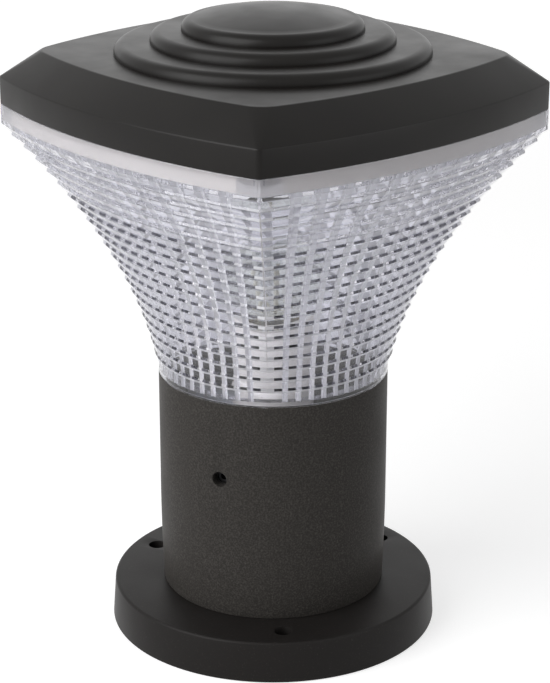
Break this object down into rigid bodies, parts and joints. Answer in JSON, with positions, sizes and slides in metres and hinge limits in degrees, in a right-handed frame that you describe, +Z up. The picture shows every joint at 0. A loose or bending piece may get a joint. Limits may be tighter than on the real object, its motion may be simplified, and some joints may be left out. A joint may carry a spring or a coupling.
{
  "type": "pillar light",
  "caption": "Outdoor pillar light: round flange and neck, clear prismatic lens flaring from round to a bowed square, flat cap with stepped dome.",
  "frame": {"origin": "centre of the base's underside, on the surface it stands on", "axes": "+Z up along the light's axis; the bowed sides of the cap face +X, -X, +Y and -Y"},
  "size_m": [0.191, 0.191, 0.28],
  "materials": {
    "base_coat": "satin black powder coat",
    "neck_coat": "fine-texture black powder coat",
    "spigot_metal": "black anodised",
    "cap_plastic": "satin black moulding",
    "clear_lens": "clear polycarbonate",
    "white_plastic": "white moulding",
    "seal_rubber": "black rubber",
    "steel": "zinc plated",
    "dark_steel": "black oxide",
    "brass": "plain",
    "nickel": "nickel plated",
    "porcelain": "white glaze",
    "terminal_plastic": "natural nylon",
    "live_insulation": "brown",
    "neutral_insulation": "blue",
    "earth_insulation": "green",
    "bulb_glass": "clear glass",
    "dark_glass": "dark glass",
    "filament_coat": "phosphor coating"
  },
  "bodies": {
    "base": {"base_flange": "base_coat", "base_gasket": "seal_rubber", "cable_grommet": "seal_rubber", "spigot": "spigot_metal", "spigot_screws": "steel", "spigot_seal": "seal_rubber", "lampholder_bracket": "steel", "bracket_screws": "steel", "holder_body": "porcelain", "holder_shell": "brass", "holder_contact": "brass", "holder_screws": "steel", "terminal_block": "terminal_plastic", "terminal_screws": "brass", "terminal_fixing_screw": "steel", "earth_lug": "steel", "earth_screw": "brass", "live_lead": "live_insulation", "neutral_lead": "neutral_insulation", "earth_lead": "earth_insulation"},
    "head": {"neck_tube": "neck_coat", "lens": "clear_lens", "neck_seal": "seal_rubber", "cap": "cap_plastic", "cap_seal": "seal_rubber", "cap_screws": "steel", "reflector": "white_plastic", "reflector_screws": "steel"},
    "bulb": {"bulb_glass": "bulb_glass", "bulb_stem": "bulb_glass", "bulb_filaments": "filament_coat", "bulb_cap": "nickel", "bulb_insulator": "dark_glass", "bulb_contact": "brass"},
    "set_screw_1": {"set_screw_1": "dark_steel"},
    "set_screw_2": {"set_screw_2": "dark_steel"},
    "set_screw_3": {"set_screw_3": "dark_steel"}
  },
  "joints": [
    {"name": "head_lift", "type": "slide", "parent": "base", "child": "head", "axis": [0, 0, 1], "range_m": [0, 0.19]},
    {"name": "bulb_unscrew", "type": "slide", "parent": "base", "child": "bulb", "axis": [0, 0, 1], "range_m": [0, 0.025]},
    {"name": "set_screw_1_travel", "type": "slide", "parent": "base", "child": "set_screw_1", "axis": [0.3502, -0.9367, 0], "range_m": [0, 0.0035]},
    {"name": "set_screw_2_travel", "type": "slide", "parent": "base", "child": "set_screw_2", "axis": [0.6361, 0.7716, 0], "range_m": [0, 0.0035]},
    {"name": "set_screw_3_travel", "type": "slide", "parent": "base", "child": "set_screw_3", "axis": [-0.9863, 0.165, 0], "range_m": [0, 0.0035]}
  ]
}
